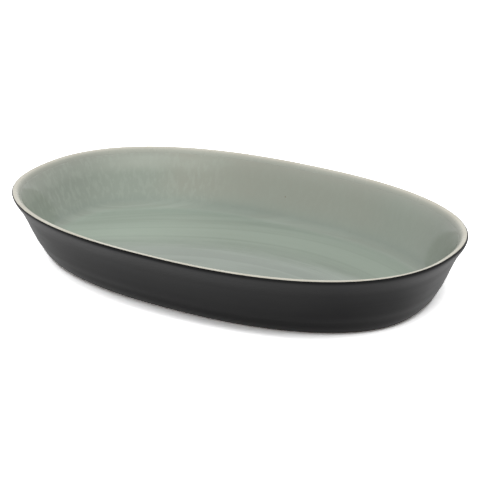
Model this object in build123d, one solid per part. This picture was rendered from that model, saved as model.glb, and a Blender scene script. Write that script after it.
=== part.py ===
from build123d import *

import math
import os

# Oval ikebana suiban: a wide, shallow stoneware basin with a flared lip and a luted foot ring.
#
# The rim is an oval of twelve arcs, each tangent to the next. The wall, the lip and the floor are
# one section, straight sides blended into each other at their corners, and it is carried round the
# rim: each arc turns its share of it about its own centre. Each glaze coat fills the space between
# that section and the clay's, which lies deeper by the coats, less a hair's gap where the glass
# meets the clay. Under the glass a sharp corner is cut once instead of blended.
# The frame has its origin at the middle of the base on the table, +X along the length and +Z up.
# Lengths are in millimetres and angles in degrees.

# Whole vessel
rim_length = 400.0
rim_width = 252.0
total_height = 55.5

# Rim oval: where its arcs meet, as shares of a quarter turn, and how full the two middle arcs are
# beside an ellipse
end_joint_share = 0.117
shoulder_joint_share = 0.626
side_joint_share = 0.912
shoulder_share = 0.924
side_share = 0.852

# Outer wall's corners between foot and lip, as shares of the height and of the foot's inset, and how
# far along the sides each blend reaches
foot_inset = 29.7
belly_height_share = 0.16
belly_inset_share = 0.714
belly_blend = 7.5
neck_height_share = 0.76
neck_inset_share = 0.232
neck_blend = 5.0
lip_height_share = 0.935
lip_base_blend = 1.6
lip_outer_blend = 1.6

# Inner wall's corners, as shares of the height and as the glazed wall's level thickness there, and
# the reach of their blends
lip_thickness = 5.1
lip_inner_blend = 3.4
inner_neck_share = 0.811
neck_thickness = 6.4
inner_neck_blend = 4.2
inner_belly_share = 0.366
belly_thickness = 6.6
inner_belly_blend = 6.6
heel_thickness = 7.9
heel_blend = 7.0

# Most of a side that a blend may take, how much of a blend's reach the cut under the glass has, and
# the share of a quarter turn that a corner must bend by to be cut
blend_limit_share = 0.45
cut_share = 0.5
cut_bend_share = 0.17

# Floor, and the foot ring luted under it and flush with the wall
floor_thickness = 5.0
foot_height = 2.0
foot_width = 7.0
foot_edge_cut = 0.5

# Glaze coats, with bare clay at the foot's edge and cream glaze over the lip
outer_coat = 0.5
lip_coat = 0.4
inner_coat = 0.8
pool_coat = 1.2
base_coat = 0.5
base_coat_margin = 1.5
bond_gap = 0.02
bare_foot_height = 0.9
inner_line_drop = 4.0

# Width of the floor between the foot ring and the middle plate, and spare length past a cut
plate_margin = 6.3
spare = 5.0


def direction(angle):
    """The level direction at an angle from the length."""
    return Vector(math.cos(math.radians(angle)), math.sin(math.radians(angle)))


def joint_angle(share):
    """Angle from the length at which two arcs of the rim meet."""
    return math.degrees(math.pi / 2) * share


def ellipse_radius(angle):
    """Radius of curvature of the ellipse in the rim's box, where it faces an angle."""
    half_length, half_width = rim_length / 2, rim_width / 2
    facing = Vector(half_length * direction(angle).X, half_width * direction(angle).Y)
    return (half_length * half_width) ** 2 / facing.length**3


def rim_arcs():
    """Centre, radius, first angle and turn of each arc of the rim, once round from the +X end."""
    joint_shares = (end_joint_share, shoulder_joint_share, side_joint_share)
    end_joint, shoulder_joint, side_joint = [joint_angle(share) for share in joint_shares]
    shoulder = shoulder_share * ellipse_radius((end_joint + shoulder_joint) / 2)
    side = side_share * ellipse_radius((shoulder_joint + side_joint) / 2)
    first, second, third = direction(end_joint), direction(shoulder_joint), direction(side_joint)
    length_left = rim_length / 2 - shoulder * (first.X - second.X) - side * (second.X - third.X)
    width_left = rim_width / 2 - shoulder * (second.Y - first.Y) - side * (third.Y - second.Y)
    spread = third.X * first.Y - (1 - first.X) * (1 - third.Y)
    end = (third.X * width_left - (1 - third.Y) * length_left) / spread
    flat = (first.Y * length_left - (1 - first.X) * width_left) / spread
    half_round = (
        (end, 2 * end_joint),
        (shoulder, shoulder_joint - end_joint),
        (side, side_joint - shoulder_joint),
        (flat, 2 * (joint_angle(1) - side_joint)),
        (side, side_joint - shoulder_joint),
        (shoulder, shoulder_joint - end_joint),
    )
    arcs = []
    radius, angle = end, -end_joint
    centre = Vector(rim_length / 2 - end, 0)
    for next_radius, turn in half_round * 2:
        centre = centre + direction(angle) * (radius - next_radius)
        arcs.append((centre, next_radius, angle, turn))
        radius, angle = next_radius, angle + turn
    return arcs


def oval_plate(inset, low, high):
    """The space inside the oval at an inset, between two levels."""
    edges = []
    for centre, radius, angle, turn in rim_arcs():
        place = Plane(centre + Vector(0, 0, low))
        edges.append(Edge.make_circle(radius - inset, place, angle, angle + turn))
    return extrude(Face(Wire(edges)), high - low, dir=(0, 0, 1))


def outer_corners():
    """Corners of the outer wall from the table to the lip, as insets and heights."""
    return [
        Vector(foot_inset, 0),
        Vector(foot_inset * belly_inset_share, total_height * belly_height_share),
        Vector(foot_inset * neck_inset_share, total_height * neck_height_share),
        Vector(0, total_height * lip_height_share),
        Vector(0, total_height),
    ]


def outer_inset(height):
    """Inset of the outer wall's straight sides at a height."""
    corners = outer_corners()
    for start, end in zip(corners, corners[1:]):
        if start.Y <= height <= end.Y:
            return start.X + (end.X - start.X) * (height - start.Y) / (end.Y - start.Y)


def plate_inset():
    """Inset at which the floor's ring meets its middle plate."""
    return foot_inset + foot_width + plate_margin


def section_corners():
    """Corners of the glazed section, over the lip and down to the floor's middle plate."""
    corners = outer_corners()
    floor_level = foot_height + floor_thickness + pool_coat
    for height, thickness in (
        (total_height, lip_thickness),
        (total_height * inner_neck_share, neck_thickness),
        (total_height * inner_belly_share, belly_thickness),
        (floor_level, heel_thickness),
    ):
        corners.append(Vector(outer_inset(height) + thickness, height))
    corners.append(Vector(plate_inset() + spare, floor_level))
    return corners


def corner_blends():
    """Reach of the blend at each corner between the section's first and last."""
    return [
        belly_blend,
        neck_blend,
        lip_base_blend,
        lip_outer_blend,
        lip_inner_blend,
        inner_neck_blend,
        inner_belly_blend,
        heel_blend,
    ]


def moved_corners(depths):
    """The section's corners, with each side moved into the clay by its depth."""
    corners = section_corners()
    runs = [(end - start).normalized() for start, end in zip(corners, corners[1:])]
    inward = [Vector(run.Y, -run.X) for run in runs]
    moved = [corners[0] + inward[0] * depths[0] - runs[0] * spare]
    for step, corner in enumerate(corners[1:-1]):
        before, after = inward[step], inward[step + 1]
        bend = before.X * after.Y - before.Y * after.X
        along_x = (depths[step] * after.Y - depths[step + 1] * before.Y) / bend
        along_y = (depths[step + 1] * before.X - depths[step] * after.X) / bend
        moved.append(corner + Vector(along_x, along_y))
    moved.append(corners[-1] + inward[-1] * depths[-1])
    return moved


def section_form(depths, blended):
    """The section filled down past the table, its corners blended or cut."""
    points = moved_corners(depths)
    edges = []
    last = points[0]
    for before, corner, after, blend in zip(points, points[1:], points[2:], corner_blends()):
        toward, away = corner - before, after - corner
        reach = min(blend, toward.length * blend_limit_share, away.length * blend_limit_share)
        if not blended:
            sharp = toward.get_angle(away) > joint_angle(cut_bend_share)
            reach = reach * cut_share if sharp else 0
        start = corner - toward.normalized() * reach
        end = corner + away.normalized() * reach
        edges.append(Edge.make_line(last, start))
        if blended:
            edges.append(Edge.make_tangent_arc(start, toward, end))
        elif sharp:
            edges.append(Edge.make_line(start, end))
        last = end
    low = points[0].Y
    closing = Polyline(last, points[-1], Vector(points[-1].X, low), points[0])
    return Face(Wire(edges + closing.edges()))


def window(near, far, low, high):
    """A rectangle of the section, between two insets and two levels."""
    return Pos((near + far) / 2, (low + high) / 2) * Rectangle(far - near, high - low)


def carried_round(section):
    """The solid that a section makes when it is carried round the rim."""
    wedges = []
    for centre, radius, angle, turn in rim_arcs():
        outward = direction(angle)
        upright = Plane(centre + outward * radius, x_dir=-outward, z_dir=(-outward.Y, outward.X, 0))
        wedges.append(revolve(upright * section, Axis(centre, (0, 0, 1)), turn))
    return wedges[0].fuse(*wedges[1:])


def coat_depths(gap):
    """Depth of the clay under each side of the section, less a gap."""
    outer, lip, inner, pool = outer_coat - gap, lip_coat - gap, inner_coat - gap, pool_coat - gap
    return (outer, outer, outer, outer, lip, inner, inner, inner, pool)


def clay_section():
    """Section of the clay, its corners cut once."""
    return section_form(coat_depths(0), False)


def glass_section():
    """Section of all the glass on the clay, from the foot over the lip to the floor."""
    return section_form([0] * len(coat_depths(0)), True) - section_form(coat_depths(bond_gap), False)


def build_clay_body():
    """Floor and wall, open at the top."""
    wall = clay_section() & window(-spare, plate_inset(), foot_height, total_height)
    return carried_round(wall) + oval_plate(plate_inset(), foot_height, foot_height + floor_thickness)


def build_foot_ring():
    """Oval strip of clay, flush with the wall, its edges on the table cut."""
    strip = clay_section() & window(-spare, foot_inset + foot_width, 0, foot_height)
    return carried_round(chamfer(strip.vertices().group_by(Axis.Y)[0], foot_edge_cut))


def build_outer_glaze():
    """Dark coat on the wall, from just above the table to where the lip starts to round over."""
    coats = glass_section() & window(-spare, foot_inset, bare_foot_height, total_height - lip_outer_blend)
    return carried_round(coats.faces().sort_by(Axis.X)[0])


def build_inner_glaze():
    """Celadon coat in the basin, pooled thicker on the floor than on the wall."""
    clay_floor = foot_height + floor_thickness
    coats = glass_section() & window(-spare, plate_inset(), clay_floor, total_height - inner_line_drop)
    coat = carried_round(coats.faces().sort_by(Axis.X)[-1])
    return coat + oval_plate(plate_inset(), clay_floor + bond_gap, clay_floor + pool_coat)


def build_lip_glaze():
    """Cream coat over the lip, from the dark glaze round to the celadon."""
    middle = lip_thickness / 2
    outside = window(-spare, middle, total_height - lip_outer_blend, total_height)
    inside = window(middle, foot_inset, total_height - inner_line_drop, total_height)
    return carried_round((glass_section() & (outside + inside)).faces()[0])


def build_base_glaze():
    """Dark coat under the floor, brushed to a margin inside the foot ring."""
    inset = foot_inset + foot_width + base_coat_margin
    return oval_plate(inset, foot_height - base_coat, foot_height)


nodes = {
    "clay_body": build_clay_body(),
    "foot_ring": build_foot_ring(),
    "inner_glaze": build_inner_glaze(),
    "outer_glaze": build_outer_glaze(),
    "lip_glaze": build_lip_glaze(),
    "base_glaze": build_base_glaze(),
}

os.makedirs("parts", exist_ok=True)
for name, solid in nodes.items():
    export_step(solid, f"parts/{name}.step")
    print(f"{name}: {solid.volume / 1000:.1f} cm3")
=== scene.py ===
import math
from functools import cached_property

import bpy
import numpy as np
from mathutils import Matrix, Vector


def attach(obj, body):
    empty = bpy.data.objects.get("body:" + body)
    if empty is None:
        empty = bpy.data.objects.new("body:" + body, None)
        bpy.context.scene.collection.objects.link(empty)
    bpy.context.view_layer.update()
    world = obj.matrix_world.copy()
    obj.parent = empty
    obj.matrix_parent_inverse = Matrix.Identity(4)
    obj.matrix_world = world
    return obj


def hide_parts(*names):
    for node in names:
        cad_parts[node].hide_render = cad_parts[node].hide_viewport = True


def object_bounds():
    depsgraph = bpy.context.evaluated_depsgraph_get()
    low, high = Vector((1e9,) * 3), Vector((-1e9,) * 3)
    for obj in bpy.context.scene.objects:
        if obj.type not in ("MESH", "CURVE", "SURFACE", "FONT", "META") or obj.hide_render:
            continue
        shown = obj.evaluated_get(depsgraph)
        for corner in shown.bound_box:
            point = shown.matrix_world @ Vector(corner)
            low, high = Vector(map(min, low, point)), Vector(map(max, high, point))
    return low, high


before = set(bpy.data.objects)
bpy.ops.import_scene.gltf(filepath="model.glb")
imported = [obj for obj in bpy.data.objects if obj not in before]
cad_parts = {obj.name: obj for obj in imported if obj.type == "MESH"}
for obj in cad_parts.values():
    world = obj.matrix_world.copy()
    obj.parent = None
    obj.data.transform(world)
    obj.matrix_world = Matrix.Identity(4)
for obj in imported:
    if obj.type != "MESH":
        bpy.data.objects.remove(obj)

cad_low, cad_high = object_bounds()

# Oval ikebana suiban: a wide, shallow stoneware basin, celadon inside and dark satin outside.
# Every piece is swept round the same oval along one section, so the coats lie on each other.
# Lengths in the section are in millimetres, and all others in metres.

MM = 0.001

# How far the vessel stays inside the CAD's box
HAIR = 0.05 * MM

# Whole vessel
HALF_LENGTH = cad_high[0] - HAIR
HALF_WIDTH = cad_high[1] - HAIR
HEIGHT = cad_high[2] - HAIR
TOP = HEIGHT / MM
OVAL_EXPONENT = 2.3

# Outer wall of the section, as heights and insets from the widest oval
WALL_HEIGHTS = (0.0, 5.5, 12.1, 16.5, 22.0, 27.5, 33.0, 38.5, 42.9, 47.3, 49.5, 51.7, 53.2, 54.0)
WALL_INSETS = (29.7, 24.7, 20.8, 18.2, 15.6, 13.2, 10.9, 8.4, 6.2, 3.4, 1.95, 0.7, 0.15, 0.0)

# Inner wall from the floor up to where the lip rounds over, in the same way
INNER_HEIGHTS = (8.2, 12.8, 15.7, 19.4, 23.7, 27.5, 31.2, 35.3, 39.4, 43.0, 46.5, 49.2, 51.0, 52.9)
INNER_INSETS = (30.48, 27.2, 25.46, 23.47, 21.3, 19.45, 17.7, 15.8, 13.9, 12.19, 10.41, 8.87, 7.73, 6.4)

# Lip, floor and foot of the section
LIP_OUTER_DROP = 1.6
CROWN_INSET = 1.6
LIP_INNER_TURN = math.radians(53)
GLAZED_FLOOR = 8.2
CORNER_RADIUS = 12.0
FLOOR_INSET = 43.0
FOOT_HEIGHT = 2.0
FOOT_WIDTH = 7.0
FOOT_EDGE = 0.5
SEAT_GAP = 0.01

# Glaze coats of the section, and the heights of the two lines where they meet
OUTER_COAT = 0.5
INNER_COAT = 0.8
POOL_COAT = 1.2
LIP_COAT = 0.4
BASE_COAT = 0.5
BASE_COAT_MARGIN = 1.5
BARE_FOOT = 0.9
BOND_GAP = 0.02
OUTER_LINE = 55.1
INNER_LINE = 51.5

# Rounded low edge of the dark glaze, as shares of its way up the wall and depths, and rounded edge of
# the base's glaze, as insets from the edge of its upper face and drops
LOW_EDGE_SHARES = (0.0, 0.002, 0.006)
LOW_EDGE_END_SHARE = 0.012
LOW_EDGE_DEPTHS = (0.45, 0.2, 0.05)
BASE_EDGE = ((0.1, 0.15), (0.25, 0.35))
BASE_UNDER_INSET = 0.6

# Handwork: the body leans a little off the rim, the wall waves, and the line of the dark glaze wanders.
# A wave has its count round the oval, its amount where it has its own, and its phase. The wall's wave
# has RIM_WAVE_SHARE of its amount at the rim, and the whole amount more at the table.
LEAN = (0.48 * MM, 0.31 * MM)
LEAN_POWER = 1.5
WALL_WAVE = 0.10 * MM
WALL_WAVES = ((2, 0.4), (3, 2.1), (5, 4.0), (9, 1.2))
RIM_WAVE_SHARE = 0.35
LINE_WAVE = 0.12
LINE_WAVES = ((3, 0.7), (7, 2.9), (13, 5.1), (24, 1.7))
HAND_WAVES = ((1, 0.082, 1.95), (2, 0.182, 1.33), (3, 0.132, 0.93), (4, 0.166, 5.9), (5, 0.215, 3.45))
HAND_WAVE_LIMIT = 0.25

# Colours of the glass over the lip and in the basin
RIM_GLASS = (0.430, 0.450, 0.392)
WARM_GLASS = (0.415, 0.410, 0.346)
CLOUDY_GLASS = (0.410, 0.475, 0.410)
MILKY_GLASS = (0.420, 0.485, 0.420)
DEEP_GLASS = (0.270, 0.335, 0.285)
RUNNING_GLASS = (0.480, 0.530, 0.460)
# Painted highlight under the lip on the left
UNDER_LIP_HIGHLIGHT = (0.520, 0.550, 0.480)
IRON = (0.20, 0.15, 0.09)
CREAM = (0.62, 0.60, 0.515)
DEEP_CREAM = (0.56, 0.535, 0.45)
CREAM_SPECK = (0.48, 0.43, 0.33)

# Colours of the dark glaze and the clay
DARK_GLASS = (0.0050, 0.0050, 0.0056)
DARK_PATCH = (0.0085, 0.0083, 0.0084)
BRUSHED_GLASS = (0.014, 0.0137, 0.0138)
DEEP_CLAY = (0.215, 0.185, 0.155)
PALE_CLAY = (0.27, 0.235, 0.20)
CLAY_GRAIN = (0.10, 0.085, 0.07)

# Celadon in the basin, as heights in the section and colours
BASIN_COLOURS = (
    (GLAZED_FLOOR, (0.389, 0.454, 0.386)),
    # The darker stop at 9.4 mm is painted shade along the corner between the floor and the wall
    (9.4, (0.358, 0.405, 0.342)),
    (14.0, (0.363, 0.416, 0.358)),
    (20.0, (0.367, 0.413, 0.353)),
    (38.0, (0.376, 0.417, 0.355)),
    (46.0, (0.398, 0.434, 0.374)),
    (INNER_LINE, RIM_GLASS),
)

# Heights in the section between which the celadon's patterns and the painted highlight under the lip come
# or go, the shine of the dark glaze changes, and the lip turns cream
WARM_HEIGHTS = (12.0, 26.0)
FLOOR_HEIGHTS = (9.0, 20.0)
UNDER_LIP_HIGHLIGHT_HEIGHTS = (34.0, INNER_LINE)
SHINE_HEIGHTS = (8.0, 55.0)
LIP_HEIGHTS = (INNER_LINE, TOP)

# Brushed arcs on the basin floor, which bow to the far side. At a place along the length they lie
# (ARC_BEND * place - ARC_SLOPE) * place nearer than in the middle. Measured across them, over ARC_REACH,
# the floor has painted shade, darker towards the near wall and the far wall, and two faint lines.
ARC_BEND = 2.6
ARC_SLOPE = 0.18
ARC_REACH = (-0.06, 0.10)

# How far the tones along the length run from the middle to both ends
LENGTH_REACH = 0.2

# How fine the patterns are, in counts per metre, and the scales on the axes of those that are drawn
# out. Of the cells that may hold an iron speck, SPECK_SHARE do.
WARM_COUNT = 9.0
CLOUD_COUNT = 22.0
SPECK_COUNT = 70.0
SPECK_SHARE = 0.07
ARC_COUNT = 1.6
ARC_DRAWN = (2.2, 30.0)
RUN_DRAWN = (260.0, 260.0, 7.0)
UNEVEN_COUNT = 60.0
PEEL_COUNT = 900.0
BRUSH_DRAWN = (6.0, 6.0, 420.0)
PATCH_COUNT = 16.0
PATCH_DRAWN = (1.0, 1.0, 2.5)
SATIN_COUNT = 1400.0
CREAM_COUNT = 45.0
CREAM_SPECK_COUNT = 700.0
CLAY_COUNT = 40.0
GRAIN_COUNT = 1800.0

# How deep their reliefs are
STREAK_RELIEF = 0.20 * MM
RUN_RELIEF = 0.03 * MM
UNEVEN_RELIEF = 0.05 * MM
PEEL_RELIEF = 0.004 * MM
BRUSH_RELIEF = 0.02 * MM
SATIN_RELIEF = 0.006 * MM
CREAM_RELIEF = 0.01 * MM
GRAIN_RELIEF = 0.08 * MM

# Mesh points: round the oval, along the section, and in the search for its rounded corner. The oval
# is rounded to so many digits, so that its four tips lie on the axes.
TURNS = 320
WALL_POINTS = 160
CROWN_POINTS = 14
LIP_POINTS = 24
INNER_POINTS = 140
CORNER_POINTS = 48
SEARCH_POINTS = 4000
SEARCH_STEPS = 60
OVAL_DIGITS = 12

# Rings of each piece. Level ones draw in to MIDDLE_SHARE of their edge, and a fan closes the middle.
WALL_RINGS = 96
WALL_UNDER_RINGS = 40
LIP_RINGS = 40
BASIN_RINGS = 130
FLOOR_RINGS = 40
BASIN_UNDER_RINGS = 60
FLOOR_UNDER_RINGS = 8
CLAY_OUTSIDE_RINGS = 40
CLAY_LIP_RINGS = 24
CLAY_INSIDE_RINGS = 50
CLAY_FLOOR_RINGS = 6
CLAY_BASE_RINGS = 8
FOOT_OUTSIDE_RINGS = 10
FOOT_EDGE_RINGS = 7
FOOT_INSIDE_RINGS = 6
BASE_OVER_RINGS = 12
BASE_UNDER_RINGS = 20
MIDDLE_SHARE = 0.02

# Studio: white surroundings, and two soft boxes above the left and the right front. The floor is pale,
# and the camera sees it lighter than it is, past white, so that only the shadow close round the foot
# is left. Mirrored in the vessel, the floor glows a little.
WORLD_LIGHT = 0.45
FLOOR_REACH = 6.0
FLOOR_COLOUR = 0.80
FLOOR_SEEN = 2.64
FLOOR_MIRRORED = 0.20
SOFTBOX_SIZE = 0.6
LEFT_SOFTBOX = (-0.8, -0.60, 1.5)
LEFT_POWER = 10.4
RIGHT_SOFTBOX = (0.85, -0.34, 1.5)
RIGHT_POWER = 9.8

# Camera, and the point on the floor that it looks at. It stands round from the front to the right end.
CAMERA_TARGET = (-0.03127, 0.05961, 0.0)
CAMERA_AZIMUTH = math.radians(32.70)
CAMERA_ELEVATION = math.radians(21.45)
CAMERA_DISTANCE = 1.5568
CAMERA_LENS = 135.0
CAMERA_SENSOR = 36.0
CAMERA_NEAREST = 0.01


def smooth_curve(places, values):
    """Natural cubic spline through the given values."""
    places = np.array(places, float)
    values = np.array(values, float)
    steps = np.diff(places)
    count = len(places)
    matrix = np.eye(count)
    right = np.zeros(count)
    for row in range(1, count - 1):
        matrix[row, row - 1 : row + 2] = steps[row - 1], 2 * (steps[row - 1] + steps[row]), steps[row]
        slopes = np.diff(values[row - 1 : row + 2]) / steps[row - 1 : row + 1]
        right[row] = 6 * (slopes[1] - slopes[0])
    bends = np.linalg.solve(matrix, right)

    def curve(place):
        left = np.clip(np.searchsorted(places, place) - 1, 0, count - 2)
        before = (places[left + 1] - place) / steps[left]
        after = (place - places[left]) / steps[left]
        bend = (before**3 - before) * bends[left] + (after**3 - after) * bends[left + 1]
        return before * values[left] + after * values[left + 1] + bend * steps[left] ** 2 / 6

    return curve


wall_inset = smooth_curve(WALL_HEIGHTS, WALL_INSETS)
inner_inset = smooth_curve(INNER_HEIGHTS, INNER_INSETS)


def quarter(start, end, first_across, count):
    """Points of a quarter ellipse from start to end, leaving across or along."""
    angles = np.linspace(0, math.pi / 2, count)
    ease, rise = 1 - np.cos(angles), np.sin(angles)
    shares = (rise, ease) if first_across else (ease, rise)
    return [
        (start[0] + (end[0] - start[0]) * across, start[1] + (end[1] - start[1]) * along)
        for across, along in zip(*shares)
    ]


def corner_arc():
    """Where the rounded corner leaves the wall, and the corner's points down to the floor."""
    heights = np.linspace(GLAZED_FLOOR, GLAZED_FLOOR + CORNER_RADIUS, SEARCH_POINTS)
    wall = np.column_stack([inner_inset(heights), heights])
    low, high = FLOOR_INSET - CORNER_RADIUS, FLOOR_INSET + CORNER_RADIUS
    for _ in range(SEARCH_STEPS):
        middle = (low + high) / 2
        centre = np.array([middle, GLAZED_FLOOR + CORNER_RADIUS])
        if np.linalg.norm(wall - centre, axis=1).min() > CORNER_RADIUS:
            high = middle
        else:
            low = middle
    touch = wall[np.linalg.norm(wall - centre, axis=1).argmin()]
    start = math.atan2(touch[1] - centre[1], touch[0] - centre[0]) % (2 * math.pi)
    return touch[1], [
        (centre[0] + CORNER_RADIUS * math.cos(angle), centre[1] + CORNER_RADIUS * math.sin(angle))
        for angle in np.linspace(start, 1.5 * math.pi, CORNER_POINTS)
    ]


def glazed_path():
    """The glazed section from the table over the lip to the floor, as points (inset, height)."""
    wall_top, inner_top = TOP - LIP_OUTER_DROP, INNER_HEIGHTS[-1]
    corner_top, arc = corner_arc()
    points = [(float(wall_inset(height)), height) for height in np.linspace(0, wall_top, WALL_POINTS)]
    points += quarter(points[-1], (CROWN_INSET, TOP), False, CROWN_POINTS)[1:]
    for turn in np.linspace(0, LIP_INNER_TURN, LIP_POINTS)[1:]:
        across = math.sin(turn) / math.sin(LIP_INNER_TURN)
        down = (1 - math.cos(turn)) / (1 - math.cos(LIP_INNER_TURN))
        inset = CROWN_INSET + (INNER_INSETS[-1] - CROWN_INSET) * across
        points.append((inset, TOP + (inner_top - TOP) * down))
    inner_heights = np.linspace(inner_top, corner_top, INNER_POINTS)[1:-1]
    points += [(float(inner_inset(height)), height) for height in inner_heights]
    points += arc
    points.append((FLOOR_INSET, GLAZED_FLOOR))
    return np.array(points)


path = glazed_path()
path_length = np.concatenate([[0], np.cumsum(np.linalg.norm(np.diff(path, axis=0), axis=1))])
tangents = np.gradient(path, path_length, axis=0)
tangents /= np.linalg.norm(tangents, axis=1)[:, None]
crown_place = path_length[path[:, 1].argmax()]


def on_path(place, depth=0.0):
    """Inset and height at a place along the section, at a depth under the glazed surface."""
    inset = np.interp(place, path_length, path[:, 0])
    height = np.interp(place, path_length, path[:, 1])
    lean_in = np.interp(place, path_length, tangents[:, 0])
    climb = np.interp(place, path_length, tangents[:, 1])
    return inset + depth * climb, height - depth * lean_in


def place_at(height, inside):
    """The place along the section where it passes a height, outside or inside."""
    side = path_length >= crown_place if inside else path_length <= crown_place
    heights, places = path[side, 1], path_length[side]
    order = np.argsort(heights)
    return np.interp(height, heights[order], places[order])


def clay_place(height):
    """The place along the section where the clay under the dark glaze passes a height."""
    places = path_length[path_length <= crown_place]
    return np.interp(height, on_path(places, OUTER_COAT + BOND_GAP)[1], places)


turns = np.arange(TURNS) * 2 * math.pi / TURNS


def signed_power(value, exponent):
    """The value's size to a power, with the value's sign."""
    return np.copysign(np.abs(value) ** exponent, value)


def wave_round(waves, amount):
    """A slow wave round the oval, made of a few whole waves that get smaller as they get finer."""
    return amount * sum(np.sin(k * turns + phase) / k for k, phase in waves)


def ring(inset, height, share=1.0):
    """One level line of the vessel: the oval moved inward, then drawn in towards the middle."""
    cosine, sine = np.round(np.cos(turns), OVAL_DIGITS), np.round(np.sin(turns), OVAL_DIGITS)
    across = signed_power(cosine, 2 / OVAL_EXPONENT)
    along = signed_power(sine, 2 / OVAL_EXPONENT)
    normal = np.column_stack(
        [
            signed_power(across, OVAL_EXPONENT - 1) / HALF_LENGTH,
            signed_power(along, OVAL_EXPONENT - 1) / HALF_WIDTH,
        ]
    )
    normal /= np.linalg.norm(normal, axis=1)[:, None]
    height = np.broadcast_to(height, turns.shape) * MM
    low = np.clip(1 - height / HEIGHT, 0, 1)
    wave = wave_round(WALL_WAVES, WALL_WAVE) * (RIM_WAVE_SHARE + low) + WALL_WAVE
    inset = np.broadcast_to(inset, turns.shape) * MM + wave
    points = np.column_stack([HALF_LENGTH * across, HALF_WIDTH * along]) - normal * inset[:, None]
    points = points * share + np.outer(low**LEAN_POWER, LEAN)
    return np.column_stack([points, height])


def sweep(name, rings, loop):
    """A closed mesh through the rings: a loop of rings, or rings that end in two middles."""
    vertices = [tuple(point) for line in rings for point in line]
    faces = []
    count = len(rings)
    following = [(step + 1) % TURNS for step in range(TURNS)]
    for row in range(count if loop else count - 1):
        here, there = row * TURNS, (row + 1) % count * TURNS
        for step, after in enumerate(following):
            faces.append((here + step, here + after, there + after, there + step))
    if not loop:
        for row, flip in ((0, True), (count - 1, False)):
            vertices.append(tuple(rings[row].mean(axis=0)))
            middle = len(vertices) - 1
            for step, after in enumerate(following):
                fan = (row * TURNS + step, row * TURNS + after, middle)
                faces.append(fan[::-1] if flip else fan)
    mesh = bpy.data.meshes.new(name)
    mesh.from_pydata(vertices, [], faces)
    mesh.update()
    for polygon in mesh.polygons:
        polygon.use_smooth = True
    piece = bpy.data.objects.new(name, mesh)
    bpy.context.scene.collection.objects.link(piece)
    return piece


def stretch(start, end, count, depth=0.0):
    """Rings along the section between two places."""
    return [ring(*on_path(start + (end - start) * share, depth)) for share in np.linspace(0, 1, count)]


def level_rings(inset, height, count):
    """Level rings that draw in from an edge to the middle."""
    return [ring(inset, height, share) for share in np.linspace(1, MIDDLE_SHARE, count)]


line_wave = sum(amount * np.sin(k * turns + phase) for k, amount, phase in HAND_WAVES)
line_wave = np.clip(line_wave, -HAND_WAVE_LIMIT, HAND_WAVE_LIMIT) + wave_round(LINE_WAVES, LINE_WAVE)


def make_outer_glaze():
    """Dark coat on the wall, from just above the table to its wandering line on the lip."""
    start = place_at(BARE_FOOT, False)
    end = place_at(OUTER_LINE + line_wave, False)
    shares = np.concatenate([LOW_EDGE_SHARES, np.linspace(LOW_EDGE_END_SHARE, 1, WALL_RINGS)])
    depths = np.concatenate([LOW_EDGE_DEPTHS, np.zeros(WALL_RINGS)])
    over = [ring(*on_path(start + (end - start) * share, depth)) for share, depth in zip(shares, depths)]
    under = stretch(start, end, WALL_UNDER_RINGS, OUTER_COAT)[::-1]
    return sweep("outer_glaze_coat", over + under, True)


def make_lip_glaze():
    """Cream coat over the lip, from the dark glaze round to the celadon."""
    start = place_at(OUTER_LINE + line_wave, False)
    end = place_at(INNER_LINE, True)
    over = stretch(start, end, LIP_RINGS)
    under = stretch(start, end, LIP_RINGS, LIP_COAT)[::-1]
    return sweep("lip_glaze_band", over + under, True)


def make_inner_glaze():
    """Celadon coat in the basin, pooled thicker on the floor than on the wall."""
    start = place_at(INNER_LINE, True)
    end = path_length[-1]
    over = stretch(start, end, BASIN_RINGS)
    over += level_rings(FLOOR_INSET, GLAZED_FLOOR, FLOOR_RINGS)[1:]
    under = stretch(start, end, BASIN_UNDER_RINGS, INNER_COAT)
    under += level_rings(FLOOR_INSET, GLAZED_FLOOR - POOL_COAT, FLOOR_UNDER_RINGS)[1:]
    return sweep("inner_glaze_pool", under[::-1] + over, False)


def make_clay_body():
    """Clay of the wall and the floor, a hair under the glass."""
    start = clay_place(FOOT_HEIGHT)
    wall_end = place_at(OUTER_LINE, False)
    inner_start = place_at(INNER_LINE, True)
    outside = stretch(start, wall_end, CLAY_OUTSIDE_RINGS, OUTER_COAT + BOND_GAP)
    lip = stretch(wall_end, inner_start, CLAY_LIP_RINGS, LIP_COAT + BOND_GAP)[1:-1]
    inside = stretch(inner_start, path_length[-1], CLAY_INSIDE_RINGS, INNER_COAT + BOND_GAP)
    inside += level_rings(FLOOR_INSET, GLAZED_FLOOR - POOL_COAT - BOND_GAP, CLAY_FLOOR_RINGS)[1:]
    base = level_rings(on_path(start, OUTER_COAT + BOND_GAP)[0], FOOT_HEIGHT, CLAY_BASE_RINGS)[1:]
    return sweep("clay_wall_and_floor", base[::-1] + outside + lip + inside, False)


def make_foot_ring():
    """Oval strip of clay under the floor, its edges on the table rounded."""
    start = clay_place(FOOT_EDGE)
    high = FOOT_HEIGHT - SEAT_GAP
    outer_low = on_path(clay_place(0.0), OUTER_COAT + BOND_GAP)[0]
    inner_low = outer_low + FOOT_WIDTH
    edge = (on_path(start, OUTER_COAT + BOND_GAP)[0], FOOT_EDGE)
    low_outside = quarter((outer_low + FOOT_EDGE, 0.0), edge, True, FOOT_EDGE_RINGS)
    low_inside = quarter((inner_low - FOOT_EDGE, 0.0), (inner_low, FOOT_EDGE), True, FOOT_EDGE_RINGS)
    inside = [(inner_low, height) for height in np.linspace(FOOT_EDGE, high, FOOT_INSIDE_RINGS)]
    rings = [ring(*place) for place in inside[::-1] + low_inside[::-1][1:] + low_outside]
    rings += stretch(start, clay_place(high), FOOT_OUTSIDE_RINGS, OUTER_COAT + BOND_GAP)[1:]
    return sweep("foot_ring_strip", rings, True)


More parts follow.
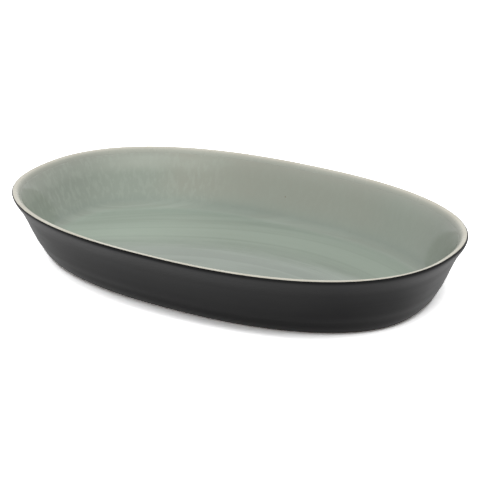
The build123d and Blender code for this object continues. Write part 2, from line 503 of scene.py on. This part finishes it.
def make_base_glaze():
    """Dark coat under the floor, with a margin inside the foot ring."""
    edge = on_path(place_at(0.0, False), OUTER_COAT)[0] + FOOT_WIDTH + BASE_COAT_MARGIN
    high = FOOT_HEIGHT - SEAT_GAP
    under = level_rings(edge + BASE_UNDER_INSET, high - BASE_COAT, BASE_UNDER_RINGS)
    rounded = [ring(edge + inset, high - drop) for inset, drop in BASE_EDGE]
    over = level_rings(edge, high, BASE_OVER_RINGS)
    return sweep("base_glaze_coat", under[::-1] + rounded[::-1] + over, False)


class Shader:
    """A material with its Principled shader, and short ways to add nodes."""

    def __init__(self, name, ior):
        self.material = bpy.data.materials.new(name)
        self.material.use_nodes = True
        self.tree = self.material.node_tree
        self.principled = self.tree.nodes["Principled BSDF"]
        self.principled.inputs["IOR"].default_value = ior
        self.coordinates = self.tree.nodes.new("ShaderNodeTexCoord").outputs["Object"]

    @cached_property
    def axes(self):
        """Object coordinates one by one, in metres."""
        return self.node("ShaderNodeSeparateXYZ", {"Vector": self.coordinates}).outputs

    @cached_property
    def length(self):
        """0 at the left end and 1 at the right one."""
        return self.spread(self.axes["X"], -LENGTH_REACH, LENGTH_REACH)

    def node(self, kind, inputs=None, **settings):
        made = self.tree.nodes.new(kind)
        for key, value in settings.items():
            setattr(made, key, value)
        for key, value in (inputs or {}).items():
            self.feed(made.inputs[key], value)
        return made

    def feed(self, socket, value):
        """Link a socket to another node's output, or set its value."""
        if isinstance(value, bpy.types.NodeSocket):
            self.tree.links.new(value, socket)
        else:
            socket.default_value = value

    def finish(self, **inputs):
        """Feed the Principled shader, and give the material."""
        for key, value in inputs.items():
            self.feed(self.principled.inputs[key.replace("_", " ")], value)
        return self.material

    def math(self, operation, first, second=0.0):
        return self.node("ShaderNodeMath", {0: first, 1: second}, operation=operation).outputs[0]

    def product(self, first, second):
        return self.math("MULTIPLY", first, second)

    def spread(self, value, low, high):
        """0 at a low value and 1 at a high one."""
        inputs = {"Value": value, "From Min": low, "From Max": high}
        return self.node("ShaderNodeMapRange", inputs).outputs["Result"]

    def drawn_out(self, scales):
        """Object coordinates in metres, multiplied by a scale on each axis."""
        inputs = {"Vector": self.coordinates, "Scale": scales}
        return self.node("ShaderNodeMapping", inputs).outputs[0]

    def noise(self, vector, count=1.0, detail=3.0, roughness=0.5, distortion=0.0):
        inputs = {"Vector": vector, "Scale": count, "Detail": detail, "Roughness": roughness}
        inputs["Distortion"] = distortion
        return self.node("ShaderNodeTexNoise", inputs).outputs["Fac"]

    def ramp(self, factor, *stops, smooth=True):
        """A value or colour that follows a factor, through stops of a place from 0 to 1 and a value."""
        made = self.node("ShaderNodeValToRGB", {"Fac": factor})
        made.color_ramp.interpolation = "EASE" if smooth else "LINEAR"
        elements = made.color_ramp.elements
        while len(elements) < len(stops):
            elements.new(0.5)
        for element, (place, value) in zip(elements, stops):
            element.position = place
            element.color = (*value, 1) if isinstance(value, tuple) else (value, value, value, 1)
        return made.outputs["Color"]

    def mix(self, factor, first, second, blend="MIX"):
        made = self.node("ShaderNodeMix", data_type="RGBA", blend_type=blend)
        self.feed(made.inputs[0], factor)
        for socket, value in ((made.inputs[6], first), (made.inputs[7], second)):
            self.feed(socket, (*value, 1) if isinstance(value, tuple) else value)
        return made.outputs[2]

    def relief(self, height, depth, strength=1.0, normal=None):
        """Surface normals of a pattern with a depth, over those of a coarser one."""
        inputs = {"Height": height, "Distance": depth, "Strength": strength}
        if normal:
            inputs["Normal"] = normal
        return self.node("ShaderNodeBump", inputs).outputs["Normal"]

    def height_range(self, low, high):
        """0 at a low height and 1 at a high one, in millimetres."""
        return self.spread(self.axes["Z"], low * MM, high * MM)

    def height_colour(self, stops):
        """A colour that changes with height, from heights in millimetres and colours."""
        low, high = stops[0][0], stops[-1][0]
        shares = [((height - low) / (high - low), colour) for height, colour in stops]
        return self.ramp(self.height_range(low, high), *shares, smooth=False)

    def length_tone_and_painted_tip_shade(self):
        """Painted shade at both tips, where the ends of the basin lie in shade, and darker from the middle
        to the right end.
        """
        left = (0.025, 0.85), (0.1, 0.97), (0.2, 0.99)
        right = (0.43, 0.86), (0.8, 0.83), (0.93, 0.69)
        return self.ramp(self.length, *left, *right)


def basin_glass(s, clouds):
    """Celadon by height, warmer in the middle of the wall than elsewhere, with faint clouds."""
    body = s.height_colour(BASIN_COLOURS)
    patches = s.ramp(s.noise(s.coordinates, WARM_COUNT, detail=2.0), (0.3, 0.7), (0.7, 1.0))
    warm = s.product(patches, s.height_range(*WARM_HEIGHTS))
    middle = s.ramp(s.length, (0.14, 0.0), (0.22, 0.6), (0.38, 0.6), (0.5, 0.4), (0.62, 0.35), (0.78, 0.0))
    body = s.mix(s.product(warm, middle), body, WARM_GLASS)
    return s.mix(s.ramp(clouds, (0.4, 0.0), (0.75, 0.2)), body, CLOUDY_GLASS)


def brushed_floor(s, body, low):
    """Long brushed arcs on the floor that bow to the far side, painted shade across them, and their
    pattern.
    """
    bow = s.product(s.math("SUBTRACT", s.product(s.axes["X"], ARC_BEND), ARC_SLOPE), s.axes["X"])
    across = s.math("ADD", s.axes["Y"], bow)
    drawn_x, drawn_y = s.product(s.axes["X"], ARC_DRAWN[0]), s.product(across, ARC_DRAWN[1])
    arcs = s.node("ShaderNodeCombineXYZ", {"X": drawn_x, "Y": drawn_y, "Z": s.axes["Z"]}).outputs[0]
    streaks = s.noise(arcs, ARC_COUNT, detail=4.0, roughness=0.6, distortion=0.25)
    # Painted shade: across the arcs the floor is darker towards the near wall and the far wall, with two
    # faint lines between
    near_shade_and_line = (0.36, 0.71), (0.58, 0.835), (0.645, 0.94), (0.66, 0.91), (0.68, 0.99)
    far_line_and_shade = (0.78, 1.0), (0.805, 0.99), (0.815, 0.93), (0.83, 0.955), (0.95, 0.87)
    shade = s.ramp(s.spread(across, *ARC_REACH), *near_shade_and_line, *far_line_and_shade)
    body = s.mix(low, body, shade, "MULTIPLY")
    milky = s.product(s.ramp(streaks, (0.46, 0.0), (0.56, 0.26), (0.64, 0.06)), low)
    body = s.mix(milky, body, MILKY_GLASS)
    deep = s.product(s.ramp(streaks, (0.36, 0.22), (0.44, 0.0)), low)
    return s.mix(deep, body, DEEP_GLASS), streaks


def running_wall(s, body, low):
    """Runs of glaze down the wall, clear only at the left end, and their pattern."""
    runs = s.noise(s.drawn_out(RUN_DRAWN), roughness=0.6, distortion=0.3)
    high = s.product(s.math("SUBTRACT", 1.0, low), s.ramp(s.length, (0.24, 1.0), (0.34, 0.12)))
    lighter = s.product(s.ramp(runs, (0.46, 0.0), (0.62, 0.27)), high)
    return s.mix(lighter, body, RUNNING_GLASS), runs


def under_lip_painted_highlight(s, body):
    """Painted highlight: a lighter band on the wall under the lip, on the left."""
    height = s.height_range(*UNDER_LIP_HIGHLIGHT_HEIGHTS)
    under_lip = s.ramp(height, (0.0, 0.0), (0.55, 1.0), (0.75, 0.9), (1.0, 0.0))
    left = s.ramp(s.length, (0.04, 0.2), (0.13, 0.6), (0.22, 0.3), (0.32, 0.0))
    return s.mix(s.product(under_lip, left), body, UNDER_LIP_HIGHLIGHT)


def iron_specks(s, body):
    """A few brown specks."""
    inputs = {"Vector": s.coordinates, "Scale": SPECK_COUNT}
    cells = s.node("ShaderNodeTexVoronoi", inputs, feature="F1")
    speck = s.ramp(cells.outputs["Distance"], (0.0, 1.0), (0.035, 0.6), (0.06, 0.0))
    chosen = s.node("ShaderNodeSeparateColor", {"Color": cells.outputs["Color"]}).outputs[0]
    return s.mix(s.product(speck, s.math("GREATER_THAN", chosen, 1 - SPECK_SHARE)), body, IRON)


def celadon_material():
    s = Shader("celadon_glaze", 1.45)
    clouds = s.noise(s.coordinates, CLOUD_COUNT, detail=4.0, roughness=0.55)
    low = s.ramp(s.height_range(*FLOOR_HEIGHTS), (0.0, 1.0), (1.0, 0.0))
    body, streaks = brushed_floor(s, basin_glass(s, clouds), low)
    # Painted shade at both tips, and darker from the middle to the right end
    body = s.mix(1.0, body, s.length_tone_and_painted_tip_shade(), "MULTIPLY")
    body, runs = running_wall(s, body, low)
    # Painted highlight under the lip on the left, then iron specks
    body = iron_specks(s, under_lip_painted_highlight(s, body))
    normal = s.relief(streaks, STREAK_RELIEF, 0.5)
    normal = s.relief(runs, RUN_RELIEF, 0.6, normal)
    normal = s.relief(s.noise(s.coordinates, UNEVEN_COUNT, detail=2.0), UNEVEN_RELIEF, 1.0, normal)
    normal = s.relief(s.noise(s.coordinates, PEEL_COUNT, detail=2.0), PEEL_RELIEF, 1.0, normal)
    return s.finish(Base_Color=body, Roughness=s.ramp(clouds, (0.3, 0.09), (0.8, 0.15)), Normal=normal)


def dark_material():
    s = Shader("dark_glaze", 1.45)
    brushed = s.noise(s.drawn_out(BRUSH_DRAWN), detail=4.0, roughness=0.6)
    patches = s.noise(s.drawn_out(PATCH_DRAWN), PATCH_COUNT)
    colour = s.mix(s.ramp(patches, (0.35, 0.0), (0.7, 1.0)), DARK_GLASS, DARK_PATCH)
    colour = s.mix(s.ramp(brushed, (0.5, 0.0), (0.75, 0.5)), colour, BRUSHED_GLASS)

    # Shinier towards the lip and the two ends, and dull again in the last millimetres up to its line
    low_wall = (0.0, 0.41), (0.255, 0.455), (0.6, 0.505), (0.83, 0.55)
    under_lip = (0.93, 0.675), (0.97, 0.31), (1.0, 0.125)
    shine = s.ramp(s.height_range(*SHINE_HEIGHTS), *low_wall, *under_lip)
    from_middle = s.math("ABSOLUTE", s.product(s.axes["X"], 1 / LENGTH_REACH))
    shine = s.product(shine, s.ramp(from_middle, (0.72, 0.62), (0.88, 0.78), (0.95, 1.0)))

    brushed_rough = s.ramp(brushed, (0.3, 0.30), (0.7, 0.38))
    rough = s.mix(0.5, brushed_rough, s.ramp(patches, (0.3, 0.28), (0.7, 0.40)))
    normal = s.relief(brushed, BRUSH_RELIEF, 0.7)
    normal = s.relief(s.noise(s.coordinates, SATIN_COUNT, detail=2.0), SATIN_RELIEF, 1.0, normal)
    return s.finish(Base_Color=colour, Specular_IOR_Level=shine, Roughness=rough, Normal=normal)


def cream_material():
    s = Shader("cream_glaze", 1.5)
    patches = s.noise(s.coordinates, CREAM_COUNT)
    cream = s.mix(s.ramp(patches, (0.35, 0.0), (0.7, 1.0)), CREAM, DEEP_CREAM)
    fine = s.noise(s.coordinates, CREAM_SPECK_COUNT)
    cream = s.mix(s.ramp(fine, (0.62, 0.0), (0.72, 0.4)), cream, CREAM_SPECK)
    # The celadon at the rim takes the same painted shade at both tips, and is darker from the middle to
    # the right end
    celadon = s.mix(1.0, RIM_GLASS, s.length_tone_and_painted_tip_shade(), "MULTIPLY")
    thin = s.ramp(s.height_range(*LIP_HEIGHTS), (0.0, 0.0), (0.55, 0.18), (0.8, 0.55), (0.93, 1.0))
    colour = s.mix(thin, celadon, cream)
    rough = s.ramp(patches, (0.3, 0.24), (0.7, 0.36))
    return s.finish(Base_Color=colour, Roughness=rough, Normal=s.relief(fine, CREAM_RELIEF))


def clay_material():
    s = Shader("stoneware", 1.5)
    grain = s.noise(s.coordinates, GRAIN_COUNT, detail=4.0, roughness=0.65)
    patches = s.noise(s.coordinates, CLAY_COUNT)
    colour = s.mix(s.ramp(patches, (0.3, 0.0), (0.7, 1.0)), DEEP_CLAY, PALE_CLAY)
    colour = s.mix(s.ramp(grain, (0.3, 0.6), (0.45, 0.0)), colour, CLAY_GRAIN)
    rough = s.ramp(grain, (0.3, 0.78), (0.7, 0.95))
    return s.finish(Base_Color=colour, Roughness=rough, Normal=s.relief(grain, GRAIN_RELIEF))


celadon = celadon_material()
dark = dark_material()
cream = cream_material()
clay = clay_material()

for piece, node, slot, material in (
    (make_outer_glaze(), "outer_glaze", "dark_glaze", dark),
    (make_lip_glaze(), "lip_glaze", "cream_glaze", cream),
    (make_inner_glaze(), "inner_glaze", "celadon_glaze", celadon),
    (make_base_glaze(), "base_glaze", "dark_glaze", dark),
    (make_foot_ring(), "foot_ring", "stoneware", clay),
    (make_clay_body(), "clay_body", "stoneware", clay),
):
    piece.data.materials.append(material)
    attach(piece, "root")
    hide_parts(node)


def rays_of(tree, *names):
    """1 for rays of the named kinds, and 0 for the rest."""
    path_node = tree.nodes.new("ShaderNodeLightPath")
    total = path_node.outputs[names[0]]
    for name in names[1:]:
        added = tree.nodes.new("ShaderNodeMath")
        added.operation = "MAXIMUM"
        tree.links.new(total, added.inputs[0])
        tree.links.new(path_node.outputs[name], added.inputs[1])
        total = added.outputs[0]
    return total


def ranged(tree, value, low, high):
    """A value between 0 and 1, spread from low to high."""
    made = tree.nodes.new("ShaderNodeMapRange")
    made.inputs["To Min"].default_value = low
    made.inputs["To Max"].default_value = high
    tree.links.new(value, made.inputs["Value"])
    return made.outputs["Result"]


def make_world():
    world = bpy.data.worlds.new("studio")
    bpy.context.scene.world = world
    world.use_nodes = True
    tree = world.node_tree
    background = tree.nodes["Background"]
    background.inputs["Color"].default_value = (1, 1, 1, 1)
    white = rays_of(tree, "Is Camera Ray", "Is Glossy Ray", "Is Transmission Ray")
    tree.links.new(ranged(tree, white, WORLD_LIGHT, 1.0), background.inputs["Strength"])


def make_floor():
    corners = [(-1, -1), (1, -1), (1, 1), (-1, 1)]
    mesh = bpy.data.meshes.new("floor")
    mesh.from_pydata([(FLOOR_REACH * x, FLOOR_REACH * y, 0) for x, y in corners], [], [(0, 1, 2, 3)])
    floor = bpy.data.objects.new("floor", mesh)
    bpy.context.scene.collection.objects.link(floor)
    material = bpy.data.materials.new("floor_white")
    material.use_nodes = True
    tree = material.node_tree
    principled = tree.nodes["Principled BSDF"]
    principled.inputs["Roughness"].default_value = 1.0
    principled.inputs["Specular IOR Level"].default_value = 0.0
    principled.inputs["Emission Color"].default_value = (1, 1, 1, 1)
    seen = ranged(tree, rays_of(tree, "Is Camera Ray"), FLOOR_COLOUR, FLOOR_SEEN)
    mirrored = rays_of(tree, "Is Glossy Ray", "Is Transmission Ray")
    tree.links.new(seen, principled.inputs["Base Color"])
    tree.links.new(ranged(tree, mirrored, 0.0, FLOOR_MIRRORED), principled.inputs["Emission Strength"])
    mesh.materials.append(material)


def aim(thing, place, target):
    """Put a light or camera at a place, looking at a target, upright."""
    look = np.array(target, float) - np.array(place, float)
    look /= np.linalg.norm(look)
    right = np.cross(look, (0, 0, 1))
    right /= np.linalg.norm(right)
    up = np.cross(right, look)
    turned = np.column_stack([right, up, -look])
    thing.matrix_world = Matrix([[*row, at] for row, at in zip(turned, place)] + [[0, 0, 0, 1]])


def make_softbox(name, place, power):
    """A round soft box that looks at the middle of the vessel's foot."""
    data = bpy.data.lights.new(name, "AREA")
    data.shape = "DISK"
    data.size = SOFTBOX_SIZE
    data.energy = power
    light = bpy.data.objects.new(name, data)
    light.visible_glossy = False
    bpy.context.scene.collection.objects.link(light)
    aim(light, place, (0, 0, 0))


def make_camera():
    level = math.cos(CAMERA_ELEVATION)
    across, along = math.sin(CAMERA_AZIMUTH) * level, -math.cos(CAMERA_AZIMUTH) * level
    back = np.array((across, along, math.sin(CAMERA_ELEVATION)))
    data = bpy.data.cameras.new("camera")
    data.lens = CAMERA_LENS
    data.sensor_width = CAMERA_SENSOR
    data.clip_start = CAMERA_NEAREST
    camera = bpy.data.objects.new("camera", data)
    bpy.context.scene.collection.objects.link(camera)
    aim(camera, np.array(CAMERA_TARGET) + back * CAMERA_DISTANCE, CAMERA_TARGET)
    bpy.context.scene.camera = camera


make_world()
make_floor()
make_softbox("left_softbox", LEFT_SOFTBOX, LEFT_POWER)
make_softbox("right_softbox", RIGHT_SOFTBOX, RIGHT_POWER)
make_camera()
bpy.context.scene.view_settings.view_transform = "Standard"
